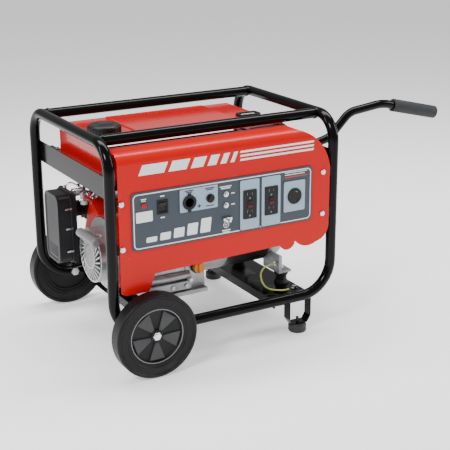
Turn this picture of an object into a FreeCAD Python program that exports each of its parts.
"""Open-frame portable generator, modelled as a parametric assembly.

Units are millimetres.  +Z is up, +X points to the tow handle end, -Y is the control panel side.
The origin is the centre of the whole object's footprint, on the ground.
Places along the length are measured from the middle of the frame and shifted by frame_x.
"""
import FreeCAD, Part
import math
import os

import Sketcher
from FreeCAD import Placement, Rotation, Vector

SIZES = {
    # tubular frame
    "frame_length": 582, "frame_width": 448, "top_height": 532, "base_height": 95,
    "tube_radius": 12.7, "tube_wall": 1.8, "top_bend": 60, "base_bend": 82, "foot_run": 131,
    "rail_inset": 64,
    # sheet cross members
    "sheet": 3, "floor_flange": 18, "floor_top": 97,
    "left_beam_start": -180, "left_beam_width": 80, "right_beam_start": 129, "right_beam_width": 107,
    "tank_beam_low": 406, "tank_beam_high": 456, "tank_beam_inset": 6, "ledge_width": 38,
    # wheels and feet
    "wheel_radius": 99, "wheel_width": 38, "wheel_gap": 5, "rim_radius": 64,
    "hub_boss": 14, "hub_plate": 6, "axle_x": -210.5, "axle_radius": 6, "axle_head": 7,
    "foot_x": 204.5, "foot_y": 213, "foot_span": 63, "foot_depth": 24,
    "pad_radius": 22.5, "pad_height": 22,
    # tow handle
    "handle_y": -100, "handle_radius": 11, "handle_wall": 1.8, "pivot_offset": 14, "pivot_height": 434,
    "handle_reach": 401, "handle_crest": 225, "grip_radius": 16.5, "grip_length": 140,
    "grip_cap": 2, "grip_slope": 13.5, "pivot_radius": 5,
    # fits and gaps
    "running": 0.05, "slip": 0.3, "gap": 1, "screw_radius": 3, "bolt_radius": 4,
    # engine, about the crankshaft axis
    "crank_y": -20, "crank_height": 222, "shaft_radius": 12.5, "throw": 27, "crankpin_radius": 14,
    "web_radius": 38, "web_width": 10, "pin_width": 30, "cylinder_x": -80, "cylinder_tilt": 25,
    "case_left": -160, "case_length": 160, "case_front": -110, "case_back": 60, "case_bottom": 116,
    "case_top": 285, "case_wall": 6, "base_flange": 10, "base_overhang": 16,
    "bell_length": 72, "bell_radius": 88, "bell_wall": 6,
    "bore_radius": 35, "piston_gap": 0.1, "piston_height": 48, "rod_length": 95,
    "barrel_start": 84, "barrel_length": 74, "barrel_width": 100, "barrel_low": 45, "barrel_high": 50,
    "head_thickness": 14, "fin_depth": 10, "fin_pitch": 9, "valve_cover_depth": 26,
    "flywheel_radius": 76, "flywheel_width": 34, "flywheel_x": -215,
    "shroud_left": -222, "shroud_radius": 90, "shroud_wall": 2.5, "shroud_back": -162,
    "duct_reach": 118, "duct_low": 48, "duct_high": 70,
    "recoil_depth": 40, "recoil_radius": 66, "recoil_wall": 3, "slot_count": 24,
    "reel_radius": 54, "reel_width": 14, "rope_radius": 2.5, "reel_core": 40, "reel_pin": 8,
    "eyelet_y": -51, "eyelet_height": 272, "starter_grip_length": 104, "starter_grip_radius": 11,
    # intake, exhaust, oil
    "carb_along": 160, "carb_above": 8, "carb_length": 74, "carb_radius": 18, "throat_radius": 11,
    "bowl_radius": 20, "bowl_height": 40, "bowl_drop": 10,
    "filter_front": 70, "filter_back": 165, "filter_bottom": 171, "filter_top": 350,
    "filter_face": -299, "filter_cover_depth": 39, "filter_base_depth": 9, "filter_wall": 2.5,
    "foam_margin": 7, "filter_corner": 12,
    "muffler_x": 20, "muffler_length": 170, "muffler_front": 95, "muffler_depth": 100,
    "muffler_bottom": 255, "muffler_height": 105, "muffler_wall": 2, "exhaust_radius": 13,
    "exhaust_bore": 10, "exhaust_length": 18,
    "oil_x": -22, "oil_height": 180, "oil_cap_radius": 14, "oil_cap_depth": 17, "dipstick_length": 46,
    # alternator
    "stator_length": 120, "stator_bore": 57, "rotor_radius": 55, "rotor_inset": 8,
    "cover_length": 44, "cover_wall": 5, "foot_plate": 6, "mount_radius": 18, "mount_waist": 14,
    "mount_right_x": 212, "mount_left_x": -140, "mount_right_height": 30,
    "mount_front_y": -125, "mount_back_y": 85, "engine_mount_front": -118.5, "engine_mount_back": 68.5,
    "wire_radius": 2,
    # fuel tank
    "tank_left": -268, "tank_right": 268, "tank_front": -142, "tank_back": 172, "tank_seat": 437,
    "seam_flange": 12, "seam_thickness": 4, "tank_top": 510, "tank_pan": 20, "tank_wall": 2,
    "pan_inset": 34, "tank_slope_start": 212, "tank_slope_drop": 30, "tank_corner": 16,
    "panel_rise": 4, "filler_x": -208, "filler_y": -15, "neck_radius": 24, "neck_height": 8,
    "cap_radius": 40, "cap_height": 20, "cap_wall": 3, "seal_thickness": 2,
    "gauge_x": 180, "gauge_y": -15, "gauge_length": 60, "gauge_width": 36, "gauge_height": 6,
    # front cover and control panel
    "cover_face": 234, "cover_sheet": 2, "cover_half": 276.5, "cover_low": 193, "cover_high": 514,
    "cover_roll": 24, "cover_return": 69, "cover_step": 40, "cover_shoulder": 95,
    "panel_left": -247, "panel_right": 224, "panel_low": 293, "panel_high": 426, "panel_sheet": 2.5,
    "panel_lap": 8, "panel_corner": 8, "plate_sheet": 1,
    "screw_left": -270, "screw_right": 256, "screw_low": 302, "screw_high": 405,
    "lamp_x": -217.5, "lamp_height": 395, "lamp_radius": 6.5,
    "switch_x": -172, "switch_height": 386, "switch_width": 26, "switch_tall": 32, "switch_depth": 24,
    "rocker_radius": 10.6, "rocker_axis": 1, "rocker_proud": 4.3,
    "dc_plate_left": -131, "dc_plate_right": -32, "dc_plate_low": 363, "dc_plate_high": 419,
    "socket_x": -106, "socket_height": 386, "socket_bore": 10.5, "socket_radius": 17, "socket_depth": 34,
    "dc_breaker_x": -53, "dc_breaker_height": 388, "dc_collar": 9.5, "dc_button": 6,
    "ac_breaker_x": -12, "ac_breaker_high": 391, "ac_breaker_low": 365, "ac_collar": 6.8, "ac_button": 4,
    "button_stand": 4, "breaker_depth": 26, "collar_height": 3,
    "terminal_x": -10, "terminal_height": 331, "terminal_radius": 3, "terminal_length": 20,
    "outlet_plate_low": 296, "outlet_plate_high": 418, "outlet_plate_width": 54,
    "outlet_left_x": 51, "outlet_right_x": 109, "outlet_height": 358, "outlet_width": 36,
    "outlet_tall": 69, "outlet_depth": 36, "outlet_stand": 2, "blade_slot": 2.4, "outlet_button_width": 12,
    "outlet_button_tall": 6, "outlet_button_offset": 5,
    "twist_x": 173.5, "twist_height": 359, "twist_radius": 19.5, "twist_plate_width": 62,
    "twist_plate_tall": 77, "twist_depth": 40,
    # smaller features and the lengths of cutting tools
    "short_drill": 20, "drill": 30, "long_drill": 60, "gauge_bore": 12, "strap_shoulder": 16,
    "bracket_drop": 24, "bracket_rise": 18, "handle_rise": 84, "muffler_round": 26,
    "slot_half": 1.8, "twist_slot_depth": 16, "twist_slot_outer": 12.6, "twist_slot_inner": 10.2,
    "slot_depth": 18, "earth_slot": 2.6, "outlet_level": 21, "panel_inset_y": 34, "plug_offset": 20,
    "skirt_start": -208, "skirt_end": -192,
}


class Size:
    """A length that carries its value and the sheet expression it is worked out from."""

    def __init__(self, text, value):
        self.text = text
        self.value = value

    def join(self, other, sign, value):
        return Size(f"({self.text} {sign} {as_size(other).text})", value)

    def __add__(self, other):
        return self.join(other, "+", self.value + as_size(other).value)

    def __sub__(self, other):
        return self.join(other, "-", self.value - as_size(other).value)

    def __mul__(self, other):
        return self.join(other, "*", self.value * as_size(other).value)

    def __truediv__(self, other):
        return self.join(other, "/", self.value / as_size(other).value)

    def __radd__(self, other):
        return as_size(other) + self

    def __rsub__(self, other):
        return as_size(other) - self

    def __rmul__(self, other):
        return as_size(other) * self

    def __neg__(self):
        return Size(f"(0 - {self.text})", -self.value)


def as_size(number):
    if isinstance(number, Size):
        return number
    if number < 0:
        return Size(f"(0 - {-number})", number)
    return Size(str(number), number)


def value(number):
    return as_size(number).value


doc = FreeCAD.newDocument("portable_generator")
sheet = doc.addObject("Spreadsheet::Sheet", "Dims")
for row, (word, number) in enumerate(SIZES.items(), 1):
    sheet.set(f"A{row}", word.replace("_", " "))
    sheet.set(f"B{row}", str(number))
    sheet.setAlias(f"B{row}", word)
doc.recompute()


class Sheet:
    """Reads a size from the spreadsheet by its alias."""

    def __getattr__(self, word):
        return Size(f"Dims.{word}", sheet.get(word))


dim = Sheet()
NODES = []

# The footprint runs from the tyres' outer edge to the end of the tow handle's grip.
pivot_x = dim.frame_length / 2 + dim.pivot_offset
handle_end = pivot_x + dim.handle_reach
frame_x = (dim.wheel_radius - dim.axle_x - handle_end) / 2


def along(x):
    """A place along the length, given from the middle of the frame."""
    return frame_x + x


# ---------------------------------------------------------------- building helpers

TURNS = {
    "x": Rotation(Vector(0, 1, 0), 90),
    "y": Rotation(Vector(1, 0, 0), -90),
    "z": Rotation(),
}


def bind(item, name, number):
    item.setExpression(name, as_size(number).text)


def place(item, at, turn=None):
    item.Placement = Placement(Vector(*[value(part) for part in at]), turn or Rotation())
    for letter, part in zip("xyz", at):
        bind(item, f"Placement.Base.{letter}", part)
    return item


def box(name, low, high):
    item = doc.addObject("Part::Box", name)
    for size, start, end in zip(("Length", "Width", "Height"), low, high):
        bind(item, size, as_size(end) - start)
    return place(item, low)


def cylinder(name, start, length, radius, axis="z"):
    item = doc.addObject("Part::Cylinder", name)
    bind(item, "Radius", radius)
    bind(item, "Height", length)
    return place(item, start, TURNS[axis])


def cone(name, start, length, radius, end_radius, axis="z"):
    item = doc.addObject("Part::Cone", name)
    bind(item, "Radius1", radius)
    bind(item, "Radius2", end_radius)
    bind(item, "Height", length)
    return place(item, start, TURNS[axis])


def hexagon(name, start, length, radius, axis="z"):
    item = doc.addObject("Part::Prism", name)
    item.Polygon = 6
    bind(item, "Circumradius", radius)
    bind(item, "Height", length)
    return place(item, start, TURNS[axis])


def fuse(name, *parts):
    item = doc.addObject("Part::MultiFuse", name)
    item.Shapes = list(parts)
    return item


def cut(name, base, *tools):
    """Takes each tool away from base in turn."""
    for count, tool in enumerate(tools, 1):
        item = doc.addObject("Part::Cut", name if count == len(tools) else f"{name}_step_{count}")
        item.Base = base
        item.Tool = tool
        base = item
    return base


def group(name, *parts):
    """Separate solids that share one node."""
    item = doc.addObject("Part::Compound", name)
    item.Links = list(parts)
    return item


def round_edges(name, base, radius, wanted):
    """Fillets the edges of base for which wanted(edge) is true."""
    doc.recompute()
    item = doc.addObject("Part::Fillet", name)
    item.Base = base
    chosen = [n for n, edge in enumerate(base.Shape.Edges, 1) if wanted(edge)]
    item.Edges = [(n, value(radius), value(radius)) for n in chosen]
    return item


def shape(name, solid):
    item = doc.addObject("Part::Feature", name)
    item.Shape = solid
    return item


def node(label, item):
    item.Label = label
    NODES.append(item)
    return item


def runs_along(letter):
    """Tests whether an edge is straight and runs along one axis."""
    wanted = {"x": Vector(1, 0, 0), "y": Vector(0, 1, 0), "z": Vector(0, 0, 1)}[letter]

    def test(edge):
        if not isinstance(edge.Curve, Part.Line):
            return False
        return abs(edge.tangentAt(edge.FirstParameter).dot(wanted)) > 0.999

    return test


# ---------------------------------------------------------------- sketches and bodies

def origin_plane(body, role):
    return [item for item in body.Origin.OriginFeatures if item.Role == role][0]


def new_sketch(body, name, role, offset=0):
    sketch = body.newObject("Sketcher::SketchObject", name)
    sketch.AttachmentSupport = [(origin_plane(body, role), "")]
    sketch.MapMode = "FlatFace"
    bind(sketch, "AttachmentOffset.Base.z", offset)
    return sketch


def hold(sketch, geometry, point, x, y):
    """Fixes one point of a sketch at sizes from the sheet."""
    for kind, number in (("DistanceX", x), ("DistanceY", y)):
        rule = Sketcher.Constraint(kind, -1, 1, geometry, point, float(value(number)))
        index = sketch.addConstraint(rule)
        bind(sketch, f"Constraints[{index}]", number)


def draw_polygon(sketch, corners):
    first = sketch.GeometryCount
    spots = [Vector(value(x), value(y), 0) for x, y in corners]
    count = len(corners)
    for n in range(count):
        sketch.addGeometry(Part.LineSegment(spots[n], spots[(n + 1) % count]))
    for n in range(count):
        rule = Sketcher.Constraint("Coincident", first + n, 2, first + (n + 1) % count, 1)
        sketch.addConstraint(rule)
    for n, (x, y) in enumerate(corners):
        hold(sketch, first + n, 1, x, y)


def revolved(name, role, profile, axis="H_Axis"):
    """A body turned from a closed profile about its sketch's own axis."""
    body = doc.addObject("PartDesign::Body", name)
    sketch = new_sketch(body, f"{name}_profile", role)
    draw_polygon(sketch, profile)
    turned = body.newObject("PartDesign::Revolution", f"{name}_turned")
    turned.Profile = sketch
    turned.ReferenceAxis = (sketch, [axis])
    turned.Angle = 360
    return body


def padded(name, role, corners, offset, length):
    """A body extruded from a closed outline along its sketch's normal."""
    body = doc.addObject("PartDesign::Body", name)
    sketch = new_sketch(body, f"{name}_outline", role, offset)
    draw_polygon(sketch, corners)
    pad = body.newObject("PartDesign::Pad", f"{name}_pad")
    pad.Profile = sketch
    bind(pad, "Length", length)
    return body


# ---------------------------------------------------------------- bent tubes

def tangent_path(points, radii):
    """Straight runs joined by tangent arcs; radii belong to the inner points."""
    edges = []
    start = points[0]
    for before, corner, after, radius in zip(points, points[1:], points[2:], radii):
        coming = (corner - before).normalize()
        going = (after - corner).normalize()
        turn = coming.getAngle(going)
        reach = radius * math.tan(turn / 2)
        first = corner - coming * reach
        last = corner + going * reach
        inward = (going - coming).normalize()
        centre = corner + inward * (radius / math.cos(turn / 2))
        middle = centre - inward * radius
        edges.append(Part.LineSegment(start, first).toShape())
        edges.append(Part.Arc(first, middle, last).toShape())
        start = last
    edges.append(Part.LineSegment(start, points[-1]).toShape())
    return Part.Wire(edges)


def rod_along(points, radii, radius):
    """A solid of round section swept along straight runs and arcs."""
    path = tangent_path(points, radii)
    direction = (points[1] - points[0]).normalize()
    ring = Part.Wire(Part.Circle(points[0], direction, radius).toShape())
    return path.makePipeShell([ring], True, True)


def tube_along(points, radii, radius, wall):
    return rod_along(points, radii, radius).cut(rod_along(points, radii, radius - wall))


def point(x, y, z):
    return Vector(value(x), value(y), value(z))


# ---------------------------------------------------------------- tubular frame

half_length = dim.frame_length / 2
half_width = dim.frame_width / 2
outer_x = half_length + dim.tube_radius
rail_y = half_width - dim.rail_inset
foot_end = half_length - dim.foot_run
face_y = -dim.cover_face
cover_back = face_y + dim.cover_sheet


def hoop_points(side):
    """Centre line of one end frame: foot, post, top tube, post, foot."""
    x = along(half_length * side)
    foot = along(foot_end * side)
    low = dim.base_height
    high = dim.top_height
    return [
        point(foot, -half_width, low), point(x, -half_width, low), point(x, -half_width, high),
        point(x, half_width, high), point(x, half_width, low), point(foot, half_width, low),
    ]


def make_frame():
    tube = value(dim.tube_radius)
    wall = value(dim.tube_wall)
    bends = [value(dim.base_bend), value(dim.top_bend), value(dim.top_bend), value(dim.base_bend)]
    posts = []
    outsides = []
    for side, word in ((-1, "left"), (1, "right")):
        outside = shape(f"{word}_hoop_outside", rod_along(hoop_points(side), bends, tube))
        hoop = shape(f"{word}_hoop", tube_along(hoop_points(side), bends, tube, wall))
        outsides.append(outside)
        posts.append(hoop)
    bore = dim.axle_radius + dim.slip
    drill = cylinder("axle_drill", (along(dim.axle_x), -half_width * 2, dim.wheel_radius),
                     half_width * 4, bore, "y")
    left = cut("left_end_frame", posts[0], drill)
    tabs = []
    for word, x, post in (("left", dim.screw_left, -half_length), ("right", dim.screw_right, half_length)):
        for level, z in (("low", dim.screw_low), ("high", dim.screw_high)):
            far = value(x) + math.copysign(8, -value(x))
            low_x = min(far, value(post))
            high_x = max(far, value(post))
            tab = box(f"tab_{word}_{level}", (along(low_x), cover_back, z - 12),
                      (along(high_x), cover_back + dim.sheet, z + 12))
            hole = cylinder(f"tab_hole_{word}_{level}", (along(x), cover_back, z), dim.short_drill,
                            dim.screw_radius, "y")
            tabs.append(cut(f"cover_tab_{word}_{level}", tab, hole, outsides[0 if word == "left" else 1]))
    node("end_frames", group("end_frame_pair", left, posts[1], *tabs))

    rails = []
    for word, y, z, reach, cutters in (
        ("top_front", -rail_y, dim.top_height, half_length, outsides),
        ("top_back", rail_y, dim.top_height, half_length, outsides),
        ("base_front", -half_width, dim.base_height, foot_end, []),
        ("base_back", half_width, dim.base_height, foot_end, []),
    ):
        start = (along(-reach), y, z)
        outside = cylinder(f"{word}_outside", start, reach * 2, dim.tube_radius, "x")
        inside = cylinder(f"{word}_inside", start, reach * 2, dim.tube_radius - dim.tube_wall, "x")
        rails.append(cut(f"{word}_rail", outside, inside, *cutters))
    node("long_rails", group("long_rail_set", *rails))
    return outsides


hoop_outsides = make_frame()
base_outsides = [doc.getObject("base_front_outside"), doc.getObject("base_back_outside")]


def floor_beam(name, start, width):
    """A pressed channel across the frame, welded to both base tubes."""
    low = dim.floor_top - dim.sheet - dim.floor_flange
    plate = box(f"{name}_plate", (along(start), -half_width, dim.floor_top - dim.sheet),
                (along(start + width), half_width, dim.floor_top))
    flange_a = box(f"{name}_flange_a", (along(start), -half_width, low),
                   (along(start + dim.sheet), half_width, dim.floor_top))
    flange_b = box(f"{name}_flange_b", (along(start + width - dim.sheet), -half_width, low),
                   (along(start + width), half_width, dim.floor_top))
    channel = fuse(f"{name}_channel", plate, flange_a, flange_b)
    holes = [
        cylinder(f"{name}_hole_{n}", (along(x), y, low), dim.long_drill, dim.bolt_radius, "z")
        for n, (x, y) in enumerate(mount_places(name))
    ]
    return cut(name, channel, *hoop_outsides, *base_outsides, *holes)


def mount_places(name):
    if name.startswith("left"):
        return [(dim.mount_left_x, dim.engine_mount_front), (dim.mount_left_x, dim.engine_mount_back)]
    return [(dim.mount_right_x, dim.mount_front_y), (dim.mount_right_x, dim.mount_back_y)]


def tank_beam(name, side):
    """A deep flat strip between the posts, folded in at mid height as a ledge for the tank."""
    web_x = half_length - dim.tank_beam_inset
    near = [web_x * side, (web_x - dim.sheet) * side]
    low_x, high_x = sorted(near, key=value)
    ledge = [web_x * side, (web_x - dim.ledge_width) * side]
    ledge_low, ledge_high = sorted(ledge, key=value)
    web = box(f"{name}_web", (along(low_x), -half_width, dim.tank_beam_low),
              (along(high_x), half_width, dim.tank_beam_high))
    shelf = box(f"{name}_ledge", (along(ledge_low), -half_width, dim.tank_seat - dim.sheet),
                (along(ledge_high), half_width, dim.tank_seat))
    strip = fuse(f"{name}_strip", web, shelf)
    holes = []
    for n, y in enumerate(ledge_bolts):
        holes.append(cylinder(f"{name}_hole_{n}", (along(bolt_x * side), y, dim.tank_seat - 10),
                              dim.short_drill,
                              dim.screw_radius, "z"))
    if side > 0:
        for n, z in enumerate(bracket_bolts):
            holes.append(cylinder(f"{name}_bracket_hole_{n}", (along(web_x - 20), dim.handle_y, z), 40,
                                  dim.bolt_radius, "x"))
    return cut(name, strip, *hoop_outsides, *holes)


bolt_x = half_length - dim.ledge_width + 9
ledge_bolts = [dim.tank_front + dim.seam_flange * 2, dim.tank_back - dim.seam_flange * 2]
bracket_bolts = [dim.pivot_height - 18, dim.pivot_height + 12]
floor_left = floor_beam("left_floor_beam", dim.left_beam_start, dim.left_beam_width)
floor_right = floor_beam("right_floor_beam", dim.right_beam_start, dim.right_beam_width)
tank_left = tank_beam("left_tank_beam", -1)
tank_right = tank_beam("right_tank_beam", 1)
node("cross_beams", group("cross_beam_set", floor_left, floor_right, tank_left, tank_right))


# ---------------------------------------------------------------- feet

def foot(side, word):
    """A bent strap welded under the base tube, and the rubber pad bolted below it."""
    y = dim.foot_y * side
    high_y = y + dim.foot_depth / 2
    left = dim.foot_x - dim.foot_span / 2
    right = dim.foot_x + dim.foot_span / 2
    taper = dim.foot_span / 6
    seat = dim.pad_height
    shoulder = seat + dim.strap_shoulder
    outer = [
        (along(left), dim.base_height), (along(left), shoulder), (along(left + taper), seat),
        (along(right - taper), seat), (along(right), shoulder), (along(right), dim.base_height),
        (along(right - dim.sheet), dim.base_height), (along(right - dim.sheet), shoulder + 1),
        (along(right - taper - 1), seat + dim.sheet), (along(left + taper + 1), seat + dim.sheet),
        (along(left + dim.sheet), shoulder + 1), (along(left + dim.sheet), dim.base_height),
    ]
    strap = padded(f"{word}_strap_sheet", "XZ_Plane", outer, -high_y, dim.foot_depth)
    hole = cylinder(f"{word}_strap_hole", (along(dim.foot_x), y, seat - 5), dim.short_drill, dim.bolt_radius)
    rail = base_outsides[0 if side < 0 else 1]
    floor = cut(f"{word}_strap", strap, hole, rail, hoop_outsides[1], floor_right)
    pad = revolved(f"{word}_pad", "XZ_Plane", [
        (0, 0), (dim.pad_radius - 2, 0), (dim.pad_radius, 3), (dim.pad_radius, seat - 5),
        (dim.pad_radius - 3, seat), (dim.bolt_radius - dim.slip, seat),
        (dim.bolt_radius - dim.slip, seat + 14), (0, seat + 17),
    ], "V_Axis")
    place(pad, (along(dim.foot_x), y, 0))
    return floor, pad


feet = [foot(-1, "front_foot"), foot(1, "back_foot")]
node("foot_straps", group("foot_strap_pair", *[strap for strap, pad in feet]))
node("foot_pads", group("foot_pad_pair", *[pad for strap, pad in feet]))


# ---------------------------------------------------------------- wheels

wheel_inner = half_width + dim.tube_radius + dim.wheel_gap
wheel_middle = wheel_inner + dim.wheel_width / 2


# Raised sectors around each wheel's outer face.
SPOKES = 5


def make_wheel(word, side):
    half = dim.wheel_width / 2
    rim = dim.rim_radius
    tread = dim.wheel_radius
    tyre = revolved(f"{word}_tyre_body", "YZ_Plane", [
        (-half + 5, rim), (half - 5, rim), (half - 3, rim + 6), (half, rim + 16), (half - 1, tread - 9),
        (half - 6, tread - 2), (half - 13, tread), (13 - half, tread), (6 - half, tread - 2),
        (1 - half, tread - 9), (-half, rim + 16), (3 - half, rim + 6),
    ])
    centre = (along(dim.axle_x), wheel_middle * side, dim.wheel_radius)
    node(f"{word}_tyre", place(tyre, centre))
    bore = dim.axle_radius + dim.running
    boss = dim.hub_boss
    plate = dim.hub_plate / 2
    profile = [
        (-half + 6, bore), (half - 14, bore), (half - 14, boss), (plate, boss + 3), (plate, rim - 8),
        (half - 5, rim - 4), (half - 5, rim), (5 - half, rim), (5 - half, rim - 4), (-plate, rim - 8),
        (-plate, boss + 3), (6 - half, boss),
    ]
    hub = revolved(f"{word}_hub_disc", "YZ_Plane", [(across * side, out) for across, out in profile])
    place(hub, centre)
    wedges = []
    for n in range(SPOKES):
        wedge = hub_wedge(f"{word}_wedge_{n}", side)
        turn = Rotation(Vector(0, 1, 0), 90 + 360 / SPOKES * n)
        place(wedge, centre, turn)
        wedges.append(wedge)
    node(f"{word}_hub", fuse(f"{word}_hub_casting", hub, *wedges))


def hub_wedge(name, side):
    """One raised sector on the wheel's outer face, drawn pointing along +X."""
    start = dim.hub_boss + 1
    end = dim.rim_radius - 9
    corners = [(start, -start * 0.32), (end, -end * 0.3), (end, end * 0.3), (start, start * 0.32)]
    low = dim.hub_plate / 2 - 1
    length = as_size(4)
    offset = low if side < 0 else -low - length
    return padded(name, "XZ_Plane", corners, offset, length)


for word, side in (("front", -1), ("back", 1)):
    make_wheel(word, side)


def axle_bolt(word, side):
    """A shoulder bolt through the base tube; washer and nut sit in the hub's recess."""
    head_y = half_width - dim.tube_radius - dim.gap / 2
    tip_y = wheel_middle + dim.wheel_width / 2 - 3
    nut_y = wheel_middle + dim.wheel_width / 2 - 14 + dim.gap / 2
    spacer = (half_width + dim.tube_radius + dim.gap / 4, wheel_inner + 6 - dim.gap / 2)
    x = along(dim.axle_x)
    z = dim.wheel_radius

    def lay(name, kind, start, end, radius):
        low = start if side > 0 else -end
        return kind(f"{word}_{name}", (x, low, z), end - start, radius, "y")

    shank = lay("axle_shank", cylinder, head_y, tip_y, dim.axle_radius)
    head = lay("axle_head", hexagon, head_y - dim.axle_head, head_y, dim.axle_radius * 1.8)
    bolt = fuse(f"{word}_axle_bolt", shank, head)
    ring = lay("axle_spacer_ring", cylinder, spacer[0], spacer[1], dim.axle_radius * 1.7)
    spacer_ring = cut(f"{word}_axle_spacer", ring, shank)
    washer = lay("axle_washer_ring", cylinder, nut_y, nut_y + 1.5, dim.axle_radius * 1.9)
    nut = lay("axle_nut_hex", hexagon, nut_y + 1.5, nut_y + 8.5, dim.axle_radius * 1.65)
    stack = cut(f"{word}_axle_nut", fuse(f"{word}_axle_stack", washer, nut), shank)
    return [bolt, spacer_ring, stack]


node("axle_bolts", group("axle_bolt_set", *axle_bolt("front", -1), *axle_bolt("back", 1)))


# ---------------------------------------------------------------- tow handle

# The handle's bends, as offsets from its pivot, and the radius of each bend.
HANDLE_LINE = [(-6, -3), (62, 14), (122, 72)]
HANDLE_BENDS = [40, 55, 120]


def make_handle():
    """A hooked lever bolted to the right tank beam; it folds down about a cross pin."""
    web = half_length - dim.tank_beam_inset
    pivot = (along(pivot_x), dim.handle_y, dim.pivot_height)
    cheek = dim.handle_radius + 1.5
    plates = []
    for n, side in enumerate((-1, 1)):
        ys = sorted([cheek * side, (cheek + dim.sheet) * side], key=value)
        plates.append(box(f"bracket_cheek_{n}", (along(web + dim.sheet), dim.handle_y + ys[0],
                                                 dim.pivot_height - dim.bracket_drop),
                          (along(pivot_x + 12), dim.handle_y + ys[1], dim.pivot_height + dim.bracket_rise)))
    base = box("bracket_base",
               (along(web), dim.handle_y - cheek - dim.sheet, dim.pivot_height - dim.bracket_drop),
               (along(web + dim.sheet), dim.handle_y + cheek + dim.sheet,
                dim.pivot_height + dim.bracket_rise))
    drill_start = dim.handle_y - dim.long_drill / 2
    pin_hole = cylinder("bracket_pin_hole", (pivot[0], drill_start, pivot[2]), dim.long_drill,
                        dim.pivot_radius + dim.slip, "y")
    bolt_holes = [
        cylinder(f"bracket_bolt_hole_{n}", (along(web - 5), dim.handle_y, z), 12, dim.bolt_radius, "x")
        for n, z in enumerate(bracket_bolts)
    ]
    node("handle_bracket", cut("handle_bracket_cut", fuse("bracket_sheet", base, *plates), pin_hole,
                               *bolt_holes))

    y = dim.handle_y
    reach = dim.handle_reach
    start_x = pivot_x
    crest = dim.handle_crest
    slope = math.radians(value(dim.grip_slope))
    rim = value(dim.grip_radius) * math.sin(slope)
    last_run = (value(reach - crest) - rim) / math.cos(slope) - value(dim.grip_cap)
    route = [point(along(start_x + run), y, dim.pivot_height + rise) for run, rise in HANDLE_LINE]
    route.append(point(along(start_x + crest), y, dim.pivot_height + dim.handle_rise))
    route.append(route[-1] + Vector(math.cos(slope), 0, -math.sin(slope)) * last_run)
    bar = tube_along(route, HANDLE_BENDS, value(dim.handle_radius), value(dim.handle_wall))
    drill = Part.makeCylinder(value(dim.pivot_radius + dim.running), 80, point(pivot[0], y - 40, pivot[2]),
                              Vector(0, 1, 0))
    node("handle_tube", shape("handle_bar", bar.cut(drill)))

    last = route[-1]
    back = (route[-2] - last).normalize()
    grip_start = last + back * value(dim.grip_length)
    grip_run = value(dim.grip_length + dim.grip_cap)
    outside = Part.makeCylinder(value(dim.grip_radius), grip_run, grip_start, -back)
    bore = Part.makeCylinder(value(dim.handle_radius), value(dim.grip_length), grip_start, -back)
    node("handle_grip", shape("handle_grip_sleeve", outside.cut(bore)))


make_handle()


# ---------------------------------------------------------------- engine

crank = (dim.crank_y, dim.crank_height)
tilt = math.radians(value(dim.cylinder_tilt))
case_right = dim.case_left + dim.case_length
bell_end = case_right + dim.bell_length
stator_end = bell_end + dim.stator_length
cover_end = stator_end + dim.cover_length
LEAN = Rotation(Vector(1, 0, 0), value(dim.cylinder_tilt) - 90)


def on_crank(x):
    return (along(x), *crank)


def lean(item, x=None):
    """Turns a piece drawn about the crankshaft with +Z along the cylinder into its lean."""
    return place(item, (along(dim.cylinder_x if x is None else x), *crank), LEAN)


def lean_box(name, low, high):
    """A box in the cylinder's own axes: x along the crankshaft, y below, z away from it."""
    return lean(group(name, box(f"{name}_block", low, high)))


def lean_cylinder(name, start, length, radius, axis="z"):
    return lean(group(name, cylinder(f"{name}_round", start, length, radius, axis)))


def make_case():
    wall = dim.case_wall
    outer = box("case_outer", (along(dim.case_left), dim.case_front, dim.case_bottom),
                (along(case_right), dim.case_back, dim.case_top))
    inner = box("case_inner", (along(dim.case_left + wall), dim.case_front + wall, dim.case_bottom + 10),
                (along(case_right - wall), dim.case_back - wall, dim.case_top - wall))
    flange = box("case_flange", (along(dim.case_left), dim.case_front - dim.base_overhang, dim.case_bottom),
                 (along(case_right), dim.case_back + dim.base_overhang, dim.case_bottom + dim.base_flange))
    rounded = round_edges("case_rounded", outer, 12, runs_along("x"))
    bell = cylinder("bell_outer", on_crank(case_right - 1), dim.bell_length + 1, dim.bell_radius, "x")
    bell_space = cylinder("bell_space", on_crank(case_right), dim.bell_length,
                          dim.bell_radius - dim.bell_wall, "x")
    shaft = cylinder("case_bearings", on_crank(dim.case_left - 5), dim.case_length + 10,
                     dim.shaft_radius + dim.running, "x")
    rod_way = lean_cylinder("case_rod_way", (0, 0, 30), 90, dim.bore_radius + 1)
    oil_hole = cylinder("case_oil_hole", (along(dim.oil_x), dim.case_front - 2, dim.oil_height), 30,
                        dim.oil_cap_radius * 0.7 + dim.slip, "y")
    holes = [
        cylinder(f"case_mount_hole_{n}", (along(x), y, dim.case_bottom - 5), dim.drill, dim.bolt_radius)
        for n, (x, y) in enumerate(mount_places("left"))
    ]
    body = cut("case_hollow", fuse("case_solid", rounded, flange, bell), inner, bell_space)
    node("crankcase", cut("crankcase_cut", body, shaft, rod_way, oil_hole, *holes))
    return outer


case_outer = make_case()
half_barrel = dim.barrel_width / 2
head_start = dim.barrel_start + dim.barrel_length
head_end = head_start + dim.head_thickness


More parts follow.
